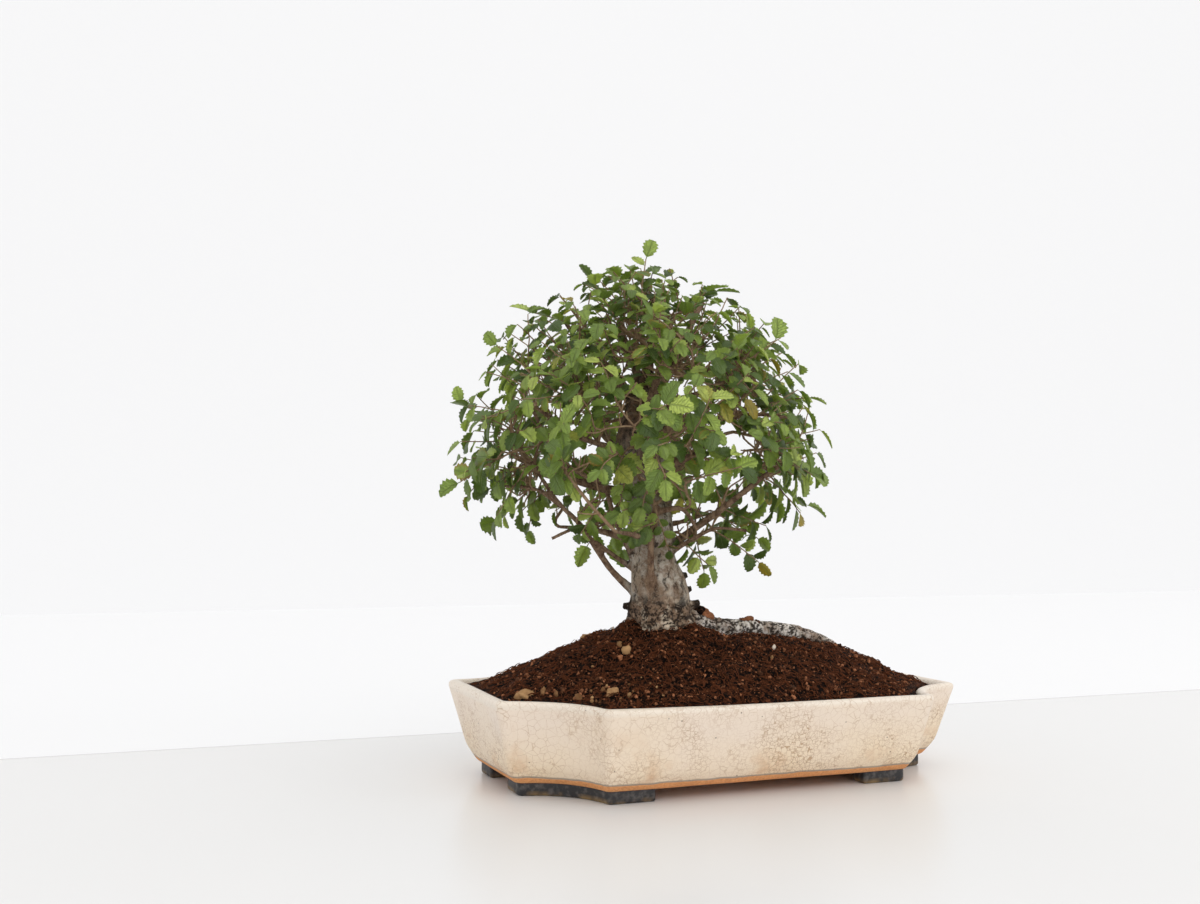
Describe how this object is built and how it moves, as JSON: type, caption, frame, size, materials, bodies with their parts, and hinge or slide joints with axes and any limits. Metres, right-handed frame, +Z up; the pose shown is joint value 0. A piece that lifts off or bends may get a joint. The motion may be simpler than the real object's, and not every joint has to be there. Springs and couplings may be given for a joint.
{
  "type": "chinese elm bonsai in a tray pot",
  "caption": "Small-leaved chinese elm bonsai with a domed crown and flared trunk, in a cream crackle-glazed tray pot with inward-cut corners.",
  "frame": {"origin": "middle of the whole plant's footprint, on the surface that the feet stand on", "axes": "+Z up, X along the pot's long side with the surface root running to +X, front of the pot towards -Y"},
  "size_m": [0.3276, 0.2364, 0.3395],
  "materials": {
    "glaze": "satin",
    "peat": "matte",
    "bark": "matte",
    "leaf": "satin",
    "clay": "matte",
    "screen_plastic": "matte"
  },
  "bodies": {
    "root": {"pot": "glaze", "drain_screen_left": "screen_plastic", "drain_screen_right": "screen_plastic", "soil": "peat", "tree_wood": "bark", "leafy_spray_01": "leaf", "leafy_spray_02": "leaf", "leafy_spray_03": "leaf", "leafy_spray_04": "leaf", "leafy_spray_05": "leaf", "leafy_spray_06": "leaf", "leafy_spray_07": "leaf", "leafy_spray_08": "leaf", "leafy_spray_09": "leaf", "leafy_spray_10": "leaf", "leafy_spray_11": "leaf", "leafy_spray_12": "leaf", "leafy_spray_13": "leaf", "leafy_spray_14": "leaf", "leafy_spray_15": "leaf", "leafy_spray_16": "leaf", "leafy_spray_17": "leaf", "leafy_spray_18": "leaf", "leafy_spray_19": "leaf", "leafy_spray_20": "leaf", "leafy_spray_21": "leaf", "leafy_spray_22": "leaf", "leafy_spray_23": "leaf", "leafy_spray_24": "leaf", "leafy_spray_25": "leaf", "leafy_spray_26": "leaf", "leafy_spray_27": "leaf", "leafy_spray_28": "leaf", "leafy_spray_29": "leaf", "leafy_spray_30": "leaf", "leafy_spray_31": "leaf", "leafy_spray_32": "leaf", "leafy_spray_33": "leaf", "leafy_spray_34": "leaf", "leafy_spray_35": "leaf", "leafy_spray_36": "leaf", "leafy_spray_37": "leaf", "leafy_spray_38": "leaf", "leafy_spray_39": "leaf", "leafy_spray_40": "leaf", "leafy_spray_41": "leaf", "clay_lump_1": "clay", "clay_lump_2": "clay", "clay_lump_3": "clay"}
  },
  "joints": []
}
